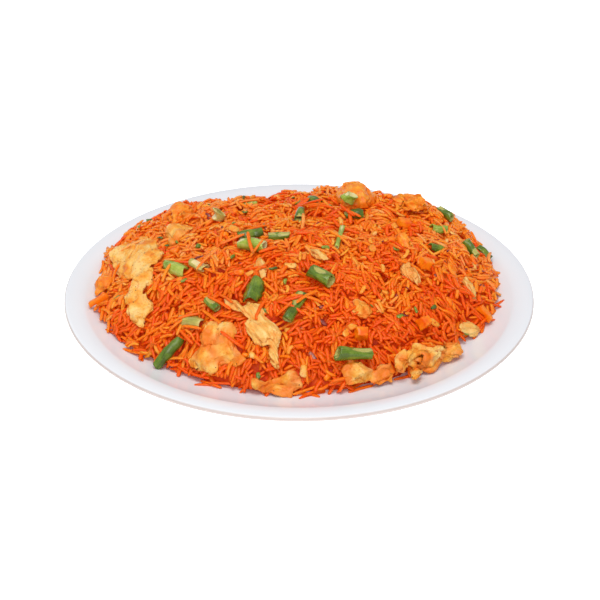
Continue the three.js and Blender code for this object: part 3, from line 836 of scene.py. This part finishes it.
def makeLeaf(node, name, material, seed):
    bm = copyOfNode(node)
    centre, (along, side, over) = longestWay(bm)
    if over.z < 0:
        over.negate()
    side = over.cross(along)
    reach = [max(abs((v.co - centre).dot(way)) for v in bm.verts) for way in (along, side, over)]
    bm.free()
    look = leafLook
    bm = bmesh.new()
    bmesh.ops.create_grid(bm, x_segments=look["rows"], y_segments=look["columns"], size=1.0)
    (edgeFar, edges), (waveFar, waves), (ribFar, ribs) = look["edge"], look["wave"], look["rib"]
    for vert in bm.verts:
        u, v = vert.co.x, vert.co.y
        taper = look["ends"] + (1 - look["ends"]) * math.sqrt(1 - (0.9 * u) ** 2)
        taper += edgeFar * math.sin(edges * u + seed)
        x = u * reach[0] * (1 + look["skew"] * v * math.sin(seed))
        y = v * reach[1] * taper
        z = reach[2] * (look["crown"] - look["arch"] * v ** 2) + waveFar * mm * math.sin(waves * u + seed)
        z += ribFar * mm * math.sin(ribs * v)
        vert.co = centre + along * x + side * y + over * z
    thicken(bm, lambda face: over, look["wall"])
    thing = fromBmesh(bm, name)
    rels = [vert.co - centre for vert in thing.data.vertices]
    addAttributes(thing, fibre=[(rel.dot(side) / mm, 0, rel.dot(along) / mm * 0.12) for rel in rels])
    return finishPiece(thing, material, "spring_onion", node)


def numbered(prefix):
    found = [name for name in nodes if name.rsplit("_", 1)[0] == prefix]
    return sorted(found, key=lambda name: int(name.rsplit("_", 1)[1]))


def makeToppings():
    made = []
    for look in (eggLook, chickenLook, coatedLook):
        material = makeFinish(look["finish"])
        made += [makeSoftPiece(node, look, material, i) for i, node in enumerate(numbered(look["nodes"]))]
        print(look["nodes"], "made")
    orange = makeFinish(carrotFinish)
    made += [makeCarrot(node, orange, i) for i, node in enumerate(numbered("carrot"))]
    print("carrot made")
    finishes = {tone: makeFinish(onionFinish, **look) for tone, look in onionTones.items()}
    for number, node in enumerate(numbered("spring_onion"), start=1):
        tone = "dark" if number in onionCuts["dark"] else "pale" if number in onionCuts["pale"] else "light"
        isLeaf = number in onionCuts["leaves"]
        make, kind = (makeLeaf, "onionLeaf") if isLeaf else (makeTube, "onionStalk")
        made.append(make(node, f"{kind}_{number}", finishes[tone], number + onionSeed))
    print("spring onion made")
    return made


# the heap is worked out as heights on a grid, in mm
field = {"step": 0.75, "left": -129.0, "front": -120.0, "columns": 344, "rows": 324}
farAway = 999.0  # a height where there is nothing


def placeOf(j, i):
    return field["left"] + i * field["step"], field["front"] + j * field["step"]


def cellOf(x, y):
    i = np.rint((np.asarray(x) - field["left"]) / field["step"]).astype(int)
    j = np.rint((np.asarray(y) - field["front"]) / field["step"]).astype(int)
    return np.minimum(np.maximum(j, 0), field["rows"] - 1), np.minimum(np.maximum(i, 0), field["columns"] - 1)


def treeOf(things):
    bm = bmesh.new()
    for thing in things:
        bm.from_mesh(thing.data)
    tree = BVHTree.FromBMesh(bm)
    bm.free()
    return tree


# heights in mm where a ray straight down, or straight up, meets the mesh
def heightsOf(tree, missing, fromBelow=False):
    way = up if fromBelow else -up
    start = -50 * mm if fromBelow else 200 * mm
    rows = np.full((field["rows"], field["columns"]), missing)
    for j, i in np.ndindex(rows.shape):
        x, y = placeOf(j, i)
        hit = tree.ray_cast(Vector((x * mm, y * mm, start)), way)[0]
        if hit is not None:
            rows[j, i] = hit.z / mm
    return rows


def blurred(values, sigma):
    reach = int(3 * sigma / field["step"]) + 1
    weights = np.exp(-0.5 * (np.arange(-reach, reach + 1) * field["step"] / sigma) ** 2)
    weights /= weights.sum()
    for _ in range(2):
        padded = np.pad(values, ((0, 0), (reach, reach)), mode="edge")
        values = np.stack([np.convolve(row, weights, "valid") for row in padded]).T
    return values


coreShape = {
    "sunk": 3.0,  # below the heap's level
    "clump": 1.7,
    "clumpWave": 11.0,
    "relief": 0.5,
    "reliefWave": 2.2,
    "clumpGain": 2.2,
    "inset": 4.5,
    "thinnest": 0.3,
    "overPlate": 0.05,
    "outline": (60, 130, 0.25),  # the radii tried for the rice's edge, and the step
    "edgeDeep": 0.8,  # how thick the rice is at its edge
    "steepest": 0.3,
    "rings": 80,
    "ringSpread": 0.8,
    "turns": 240,
    "clumpSeed": 8,
    "reliefSeed": 3,
}
unevenHeap = {
    "blur": 2.4,
    "shallow": 4.0,  # the heap stays even where it is no thicker
    "waves": ((17.0, 5.5), (8.0, 2.4), (4.0, 0.8)),
    "pitWave": 7.0,
    "pitFrom": 0.24,
    "pitDepth": 8.0,
    "waveSeed": 70,
    "pitSeed": 71,
}


# how far the rice reaches from its middle, for each turn of the core
def outlineOf(depth, centre):
    reach = []
    for k in range(coreShape["turns"]):
        angle = math.tau * k / coreShape["turns"]
        r = np.arange(*coreShape["outline"])
        cells = cellOf(centre[0] + r * math.cos(angle), centre[1] + r * math.sin(angle))
        reach.append(r[depth[cells] > coreShape["edgeDeep"]].max())
    return np.array(reach)


# a disc spun round the heap's middle, raised to the sunken level, and closed below
def makeCore(level, plateTop, centre, reach):
    riseY, riseX = np.gradient(level, field["step"])
    facing = 1 / np.sqrt(1 + riseX ** 2 + riseY ** 2)
    shape = coreShape
    rings = [((k / shape["rings"]) ** shape["ringSpread"], 0, 0) for k in range(shape["rings"] + 1)]
    bm = spun(rings, shape["turns"])
    for vert in bm.verts:
        share = math.hypot(vert.co.x, vert.co.y)
        angle = math.atan2(vert.co.y, vert.co.x) % math.tau
        turn = int(round(angle / math.tau * shape["turns"])) % shape["turns"]
        far = share * (reach[turn] - shape["inset"])
        vert.co = (centre[0] + far * math.cos(angle), centre[1] + far * math.sin(angle), share)
    raised = bmesh.ops.extrude_face_region(bm, geom=bm.faces[:])["geom"]
    top = {v for v in raised if isinstance(v, bmesh.types.BMVert)}
    for vert in bm.verts:
        cell = cellOf(vert.co.x, vert.co.y)
        at = Vector((vert.co.x, vert.co.y, 0))
        z = plateTop[cell] + shape["overPlate"]
        if vert in top:
            clump = shape["clumpGain"] * softNoise(at, shape["clumpWave"], shape["clumpSeed"])
            sunk = shape["sunk"] - shape["clump"] * min(max(clump, 0), 1)
            relief = shape["relief"] * softNoise(at, shape["reliefWave"], shape["reliefSeed"])
            sunk /= max(facing[cell], shape["steepest"])
            z = max(level[cell] - sunk + relief, z + shape["thinnest"])
        vert.co = Vector((at.x, at.y, z)) * mm
    bmesh.ops.recalc_face_normals(bm, faces=bm.faces)
    core = fromBmesh(bm, "riceCore")
    return finishPiece(core, makeFinish(coreFinish), "rice", "rice_heap")


riceLook = {
    "long": (11.0, 18.0),
    "wide": (1.6, 2.4),
    "tall": (1.2, 1.6),
    "firstBundles": 1200,
    "firstCount": (2, 6),
    "firstProud": -0.6,
    # a hole's depth, how proud its grain may lie, how much that may tip, and how long it is
    "fills": ((2.2, 0.0, 0.6, (11.0, 19.0)), (1.5, 0.4, 0.6, (11.0, 19.0)), (1.1, 0.9, 0.8, (9.0, 17.0)),
              (1.3, 1.6, 2.0, (6.0, 10.0)), (1.3, 2.2, 3.0, (5.0, 8.0))),
    "fillCount": (0, 3),
    "slide": 0.35,  # how far along itself a grain is shifted, as a share of its length
    "headings": 8,  # how many ways each grain is tried
    "sink": 0.4,  # how far grains press into each other
    "pressed": 1.3,  # how far one gives way where it crosses another
    "restsOn": 5,  # it rests on this one of its places, counted from the highest
    "droopMost": 1.2,
    "droopShare": 0.7,
    "tippedMost": 0.6,
    "spacing": (1.7, 2.3),
    "slip": 3.0,
    "turnAstray": 0.13,
    "firstAstray": 0.3,
    "biteBelow": 1.2,
    "margin": 0.2,  # from the heap's outline to a grain's middle
    "steepest": 2.4,
    "flowWave": 24.0,  # grains lie roughly parallel over about this far
    "flowSwing": 2.2,
    "steepSwing": 1.2,
    "astray": 1.8,  # what lying across the flow counts, in mm of height
    "steepAstray": 5.4,
    "steepBelow": 0.8,
    "bend": 1.3,
    "bendLevel": 0.33,  # keeps a bent grain on its place
    "patchShift": 0.95,  # how much the colours keep together
    "patchWave": 13.0,
    "redderFrontShade": 0.75,  # the front of the heap is redder and darker: painted shade
    "frontReach": 80.0,
    "overOnion": 100,
    "overToppings": 60,
    "overAway": 5.0,
    "proudOver": 5.0,
    "sides": 6,
    "rings": 8,
    "blunt": 8,
    "flowSeed": 55,
    "patchSeed": 9,
    "kindSeed": 5,
    "seed": 20,
}
# where a grain feels for what lies under it, as shares of its length and width, and its form there
probe = {"along": 16, "across": (-0.36, 0.0, 0.36), "ends": 1.96, "blunt": 0.7, "sides": 1.8}
probeAlong = (np.arange(probe["along"]) + 0.5) / probe["along"] - 0.5
probeAcross = np.array(probe["across"])
probeEnds = np.sqrt(1 - (probe["ends"] * probeAlong[:, None]) ** 2) ** probe["blunt"]
probeThick = 0.5 * probeEnds * np.sqrt(1 - (probe["sides"] * probeAcross[None]) ** 2)
probeFit = probeAlong / (probeAlong ** 2).sum()


# rests grains on the ground: tilted as the ground below, and bent down a little at their ends;
# x, y and turn are rows, one number for each way that the grain is tried
def settle(ground, x, y, turn, size):
    c, s = np.cos(turn)[:, None, None], np.sin(turn)[:, None, None]
    along, across = probeAlong[None, :, None] * size[0], probeAcross[None, None] * size[1]
    j, i = cellOf(x[:, None, None] + along * c - across * s, y[:, None, None] + along * s + across * c)
    need = (ground[j, i] + probeThick * size[2]).max(axis=2)
    slope = (need @ probeFit) / size[0]
    rest = need - slope[:, None] * probeAlong * size[0]
    ranked = np.sort(rest, axis=1)
    height = np.maximum(ranked[:, -riceLook["restsOn"]], ranked[:, -1] - riceLook["pressed"])
    ends = np.maximum(rest[:, 0], rest[:, -1])
    droop = np.clip(height - ends, 0, riceLook["droopMost"]) * riceLook["droopShare"]
    line = height[:, None] + slope[:, None] * probeAlong * size[0] - droop[:, None] * (2 * probeAlong) ** 2
    return j, i, height, slope, droop, line


# what has been laid so far, as heights in mm on the grid
class Heap:
    def __init__(self, level, ground, toppingTop, toppingBottom, onionTop, centre, reach):
        self.level = level
        self.riseY, self.riseX = np.gradient(level, field["step"])
        self.facing = 1 / np.sqrt(1 + self.riseX ** 2 + self.riseY ** 2)  # 1 on the flat, less on a slope
        self.ground = ground
        self.toppingTop = toppingTop
        self.toppingBottom = toppingBottom
        self.onionTop = onionTop
        self.centre = centre
        self.reach = reach
        self.grains = []
        self.draw = random.Random(riceLook["seed"])

    def inside(self, x, y, margin):
        dx, dy = x - self.centre[0], y - self.centre[1]
        k = int(round(math.atan2(dy, dx) % math.tau / math.tau * len(self.reach))) % len(self.reach)
        return math.hypot(dx, dy) < self.reach[k] - margin

    def newSize(self, lengths=riceLook["long"]):
        return [self.draw.uniform(*limits) for limits in (lengths, riceLook["wide"], riceLook["tall"])]

    # the heading that the grains near a place follow
    def flow(self, x, y):
        j, i = cellOf(x, y)
        drift = softNoise(Vector((x, y, 0)), riceLook["flowWave"], riceLook["flowSeed"])
        if self.facing[j, i] > riceLook["steepBelow"]:
            return riceLook["flowSwing"] * math.pi * drift
        edge = math.atan2(self.riseX[j, i], -self.riseY[j, i])  # along the heap's steep edge
        return edge + riceLook["steepSwing"] * drift

    # lays the grain the lowest and best of the ways that it is tried, if it can lie there
    def layBest(self, x, y, turn, size, ground, proud, tippedMost=riceLook["tippedMost"]):
        x, y, turn = np.atleast_1d(x, y, turn)
        j, i, height, slope, droop, line = settle(ground, x, y, turn, size)
        middle = cellOf(x, y)
        over = (height + 0.5 * size[2] - self.level[middle]) * self.facing[middle]
        top = line[:, :, None] + probeThick * size[2] - riceLook["sink"]
        tipped = slope - self.riseX[middle] * np.cos(turn) - self.riseY[middle] * np.sin(turn)
        bad = (np.abs(tipped) > tippedMost) | (np.abs(slope) > riceLook["steepest"]) | (over > proud)
        if ground is self.ground:
            bad |= (top > self.toppingBottom[j, i] + riceLook["biteBelow"]).any(axis=(1, 2))
        over[bad] = farAway
        wrongWay = np.abs(np.sin(turn - self.flow(x[0], y[0])))
        astray = riceLook["steepAstray" if self.facing[middle][0] < riceLook["steepBelow"] else "astray"]
        best = int((over + astray * wrongWay).argmin())
        if over[best] > proud or not self.inside(x[best], y[best], riceLook["margin"]):
            return None
        cells = j[best], i[best]
        ground[cells] = np.maximum(ground[cells], top[best])
        bend = self.draw.uniform(-1, 1) * riceLook["bend"]
        self.grains.append((x[best], y[best], height[best] - riceLook["sink"], turn[best],
                            math.atan(slope[best]), droop[best], *size, bend, self.draw.random()))
        return x[best], y[best], turn[best]

    # nearly parallel grains side by side
    def layBundle(self, x, y, turn, count, proud, tippedMost=riceLook["tippedMost"],
                  lengths=riceLook["long"]):
        for k in range(count):
            across = (k - 0.5 * (count - 1)) * self.draw.uniform(*riceLook["spacing"])
            slip = self.draw.uniform(-riceLook["slip"], riceLook["slip"])
            gx = x - across * math.sin(turn) + slip * math.cos(turn)
            gy = y + across * math.cos(turn) + slip * math.sin(turn)
            heading = turn + self.draw.gauss(0, riceLook["turnAstray"])
            self.layBest(gx, gy, heading, self.newSize(lengths), self.ground, proud, tippedMost)

    # covers each place that still lies deeper than hole below the heap's level
    def fill(self, hole, proud, tippedMost, lengths):
        deep = (self.level - self.ground) * self.facing
        cells = np.argwhere((deep > hole) & (self.toppingBottom == farAway)).tolist()
        self.draw.shuffle(cells)
        count = riceLook["headings"]
        for j, i in cells:
            x, y = placeOf(j, i)
            deep = (self.level[j, i] - self.ground[j, i]) * self.facing[j, i]
            if deep < hole or not self.inside(x, y, riceLook["margin"]):
                continue
            size = self.newSize(lengths)
            turn = self.draw.uniform(0, math.pi) + math.pi * np.arange(count) / count
            slide = riceLook["slide"]
            slip = np.array([self.draw.uniform(-slide, slide) * size[0] for _ in range(count)])
            laid = self.layBest(x + slip * np.cos(turn), y + slip * np.sin(turn), turn, size, self.ground,
                                proud, tippedMost)
            if laid:
                self.layBundle(*laid, self.draw.randint(*riceLook["fillCount"]), proud, tippedMost, lengths)

    # a few grains that lie across the edges of the toppings
    def scatterOver(self, tops, count):
        ground = np.maximum(self.ground, self.toppingTop)
        cells = np.argwhere(tops > 0)
        away = riceLook["overAway"]
        for _ in range(count):
            x, y = placeOf(*cells[self.draw.randrange(len(cells))])
            x += self.draw.uniform(-away, away)
            y += self.draw.uniform(-away, away)
            turn = self.draw.uniform(0, math.pi)
            self.layBest(x, y, turn, self.newSize(), ground, riceLook["proudOver"])


# grains from the core up, until the heap has reached its level, then a few over the toppings
def layGrains(heap):
    for _ in range(riceLook["firstBundles"]):
        x = heap.centre[0] + heap.draw.uniform(-1, 1) * heap.reach.max()
        y = heap.centre[1] + heap.draw.uniform(-1, 1) * heap.reach.max()
        turn = heap.flow(x, y) + heap.draw.gauss(0, riceLook["firstAstray"])
        heap.layBundle(x, y, turn, heap.draw.randint(*riceLook["firstCount"]), riceLook["firstProud"])
    print("first grains:", len(heap.grains))
    for hole, *rest in riceLook["fills"]:
        heap.fill(hole, *rest)
        print("grains after filling holes of", hole, "mm:", len(heap.grains))
    heap.scatterOver(heap.onionTop, riceLook["overOnion"])
    heap.scatterOver(heap.toppingTop, riceLook["overToppings"])
    print("grains in all:", len(heap.grains))
    return np.array(heap.grains)


# one grain a unit long, wide and tall, lying along X
def grainTemplate():
    bm = bmesh.new()
    bmesh.ops.create_uvsphere(bm, u_segments=riceLook["sides"], v_segments=riceLook["rings"], radius=0.5)
    bmesh.ops.rotate(bm, verts=bm.verts, cent=(0, 0, 0), matrix=Matrix.Rotation(math.pi / 2, 3, "Y"))
    for vert in bm.verts:
        thin = math.sqrt(max(1 - (2 * vert.co.x) ** 2, 1e-6))
        full = (1 - abs(2 * vert.co.x) ** riceLook["blunt"]) ** 0.5
        if abs(vert.co.x) < 0.499:
            vert.co.y *= full / thin
            vert.co.z *= full / thin
    bm.verts.ensure_lookup_table()
    points = np.array([v.co for v in bm.verts])
    faces = [[v.index for v in f.verts] for f in bm.faces]
    bm.free()
    return points, faces


# many copies of the template in one mesh, each with its own place, size, tilt and bend
def joinedGrains(name, grains, template):
    points, faces = template
    x, y, z, turn, tilt, droop, length, wide, tall, bend, tone = [column[:, None] for column in grains.T]
    u, v, w = (points[:, k][None] for k in range(3))
    along = u * length
    across = v * wide + bend * ((2 * u) ** 2 - riceLook["bendLevel"])
    high = w * tall - droop * (2 * u) ** 2
    flat = along * np.cos(tilt) - high * np.sin(tilt)
    places = np.stack([x + flat * np.cos(turn) - across * np.sin(turn),
                       y + flat * np.sin(turn) + across * np.cos(turn),
                       z + along * np.sin(tilt) + high * np.cos(tilt)], axis=2) * mm
    count = len(points)
    allFaces = [[first + v for v in face] for first in range(0, count * len(grains), count) for face in faces]
    mesh = bpy.data.meshes.new(name)
    mesh.from_pydata(places.reshape(-1, 3), [], allFaces, shade_flat=False)
    thing = addToScene(bpy.data.objects.new(name, mesh))
    addAttributes(thing, tone=np.repeat(tone[:, 0], count))
    return thing


# what colour the grains have, and what share of them
riceKinds = [
    {"name": "redRice", "share": 0.12, "roughness": 0.34,
     "stops": [(0.0, "#e55205"), (0.6, "#ec6008"), (1.0, "#ef6b0c")]},
    {"name": "orangeRice", "share": 0.28, "roughness": 0.36,
     "stops": [(0.0, "#ed690a"), (0.5, "#f27a11"), (1.0, "#f6891a")]},
    {"name": "brightRice", "share": 0.21, "roughness": 0.36,
     "stops": [(0.0, "#f47b11"), (0.5, "#f6881a"), (1.0, "#f6982a")]},
    {"name": "amberRice", "share": 0.17, "roughness": 0.36,
     "stops": [(0.0, "#f28818"), (0.6, "#f49829"), (1.0, "#f6aa42")]},
    {"name": "peachRice", "share": 0.2, "roughness": 0.38,
     "stops": [(0.0, "#f3882c"), (0.6, "#f6963e"), (1.0, "#f6a85c")]},
]


# small bits among the grains: places in mm where they show, and how many more lie about
crumbLooks = [
    {"name": "greenBits", "slot": "spring_onion", "sizes": ((3.0, 5.5), (1.6, 2.6), (0.8, 1.3)), "more": 34,
     "places": [(-24, -72), (-7, -45), (-104, -26), (88, -48), (10, -20), (52, -58)]},
    {"name": "eggBits", "slot": "egg", "sizes": ((3.0, 7.0), (2.4, 4.5), (1.2, 2.2)), "more": 60,
     "places": [(-40, 3), (27, -70), (-48, 23), (90, -40), (45, -42), (6, 18), (-5, -72)]},
    {"name": "carrotBits", "slot": "carrot", "sizes": ((3.0, 6.0), (2.4, 4.0), (1.8, 3.0)), "more": 40,
     "places": [(-27, -83), (-74, 61), (66, -11), (0, -80), (14, -92)]},
    {"name": "purpleBits", "slot": "spring_onion", "sizes": ((4.0, 6.5), (2.0, 3.0), (0.8, 1.2)), "more": 5,
     "places": [(-54, -12), (54, -56)]},
    {"name": "pepperBits", "slot": "rice", "sizes": ((1.2, 2.6), (0.9, 1.6), (0.5, 0.9)), "more": 70,
     "places": [(57, 22), (-80, -35), (59, -4)]},
]
crumbSpots = {
    "levelAbove": 16.0,
    "facingAbove": 0.5,
    "margin": 4.0,
    "sunk": 0.25,
    "boxy": 0.55,
    "lumpWave": 2.5,
    "lump": 0.7,
    "above": 2.0,
    "seed": 200,
}
flakeTones = {
    "greenBits": {"name": "greenBits", "stops": [(0.35, "#4a5c12"), (0.5, "#6c8420"), (0.68, "#98a83a")],
                  "inside": "#b8b460", "streak": "#363f0c"},
    "purpleBits": {"name": "purpleOnion", "stops": [(0.35, "#6a2420"), (0.5, "#8e3a34"), (0.68, "#b86a50")],
                   "inside": "#b86a50", "streak": "#4a1418"},
}


# rounded scraps set into the grains, all of one kind joined
def makeCrumbs(look, material, heap, seed):
    draw = random.Random(seed)
    spots = list(look["places"])
    openCells = np.argwhere((heap.toppingBottom == farAway) & (heap.level > crumbSpots["levelAbove"])
                            & (heap.facing > crumbSpots["facingAbove"]))
    while len(spots) < len(look["places"]) + look["more"]:
        x, y = placeOf(*openCells[draw.randrange(len(openCells))])
        if heap.inside(x, y, crumbSpots["margin"]):
            spots.append((x, y))
    bm = bmesh.new()
    for x, y in spots:
        length, wide, tall = (draw.uniform(*limits) for limits in look["sizes"])
        j, i = cellOf(x, y)
        lean = Vector((-heap.riseX[j, i], -heap.riseY[j, i], 1)).to_track_quat("Z", "X").to_matrix().to_4x4()
        at = Vector((x, y, heap.ground[j, i] - crumbSpots["sunk"] * tall))
        shape = Matrix.Translation(at) @ lean @ Matrix.Rotation(draw.uniform(0, math.tau), 4, "Z") \
            @ Matrix.Diagonal((length, wide, tall, 1))
        for vert in bmesh.ops.create_icosphere(bm, subdivisions=2, radius=0.5)["verts"]:
            boxy = vert.co * 0.5 / max(abs(part) for part in vert.co)
            vert.co = shape @ vert.co.lerp(boxy, crumbSpots["boxy"])
            vert.co += softVector(vert.co, crumbSpots["lumpWave"], seed) * crumbSpots["lump"]
            vert.co *= mm
    thing = fromBmesh(bm, look["name"])
    places = [v.co / mm for v in thing.data.vertices]
    addAttributes(thing, fibre=places, above=[crumbSpots["above"]] * len(places))
    return finishPiece(thing, material, look["slot"], "rice_heap")


def makeRice(toppings):
    heapTop = heightsOf(treeOf([nodes["rice_heap"]]), -1.0)
    plateTop = heightsOf(treeOf([nodes["plate"]]), 0.0)
    uneven = unevenHeap
    level = blurred(np.maximum(heapTop, plateTop), uneven["blur"])
    for j, i in np.argwhere(heapTop > plateTop + uneven["shallow"]):
        at = Vector((*placeOf(j, i), 0))
        rise = sum(far * softNoise(at, wave, uneven["waveSeed"]) for wave, far in uneven["waves"])
        pit = max(softNoise(at, uneven["pitWave"], uneven["pitSeed"]) - uneven["pitFrom"], 0)
        level[j, i] += rise - uneven["pitDepth"] * pit
    lowest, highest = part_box("rice_heap")
    centre = ((lowest.x + highest.x) / 2 / mm, (lowest.y + highest.y) / 2 / mm)
    reach = outlineOf(heapTop - plateTop, centre)
    core = makeCore(level, plateTop, centre, reach)
    print("core made")
    tree = treeOf(toppings)
    toppingTop = heightsOf(tree, -1.0)
    onionTop = heightsOf(treeOf([thing for thing in toppings if thing.name.startswith("onion")]), -1.0)
    toppingBottom = heightsOf(tree, farAway, fromBelow=True)
    ground = np.maximum(heightsOf(treeOf([core]), 0.0), plateTop)
    heap = Heap(level, ground, toppingTop, toppingBottom, onionTop, centre, reach)
    grains = layGrains(heap)
    template = grainTemplate()
    draw = random.Random(riceLook["kindSeed"])
    shares = np.cumsum([kind["share"] for kind in riceKinds])
    chosen = []
    for x, y in grains[:, :2]:
        patch = softNoise(Vector((x, y, 0)), riceLook["patchWave"], riceLook["patchSeed"])
        drift = riceLook["patchShift"] * patch
        # painted shade: towards the front the grains take redder, darker kinds
        drift -= riceLook["redderFrontShade"] * min(max(-y / riceLook["frontReach"], 0), 1)
        chosen.append(np.searchsorted(shares, min(max(draw.random() + drift, 0), 0.999) * shares[-1]))
    chosen = np.array(chosen)
    for number, kind in enumerate(riceKinds):
        thing = joinedGrains(kind["name"], grains[chosen == number], template)
        finishPiece(thing, makeFinish(riceFinish, **kind), "rice", "rice_heap")
        print(kind["name"], "has", int((chosen == number).sum()), "grains")
    finishes = {
        "greenBits": makeFinish(onionFinish, **flakeTones["greenBits"]),
        "eggBits": bpy.data.materials["scrambledEgg"],
        "carrotBits": bpy.data.materials["cookedCarrot"],
        "purpleBits": makeFinish(onionFinish, **flakeTones["purpleBits"]),
        "pepperBits": makeFinish(pepperFinish),
    }
    for number, look in enumerate(crumbLooks):
        makeCrumbs(look, finishes[look["name"]], heap, crumbSpots["seed"] + number)
    print("small bits made")


makeCamera()
makeLight()
makeFloor()
makePlate()
print("plate made")
toppings = makeToppings()
makeRice(toppings)
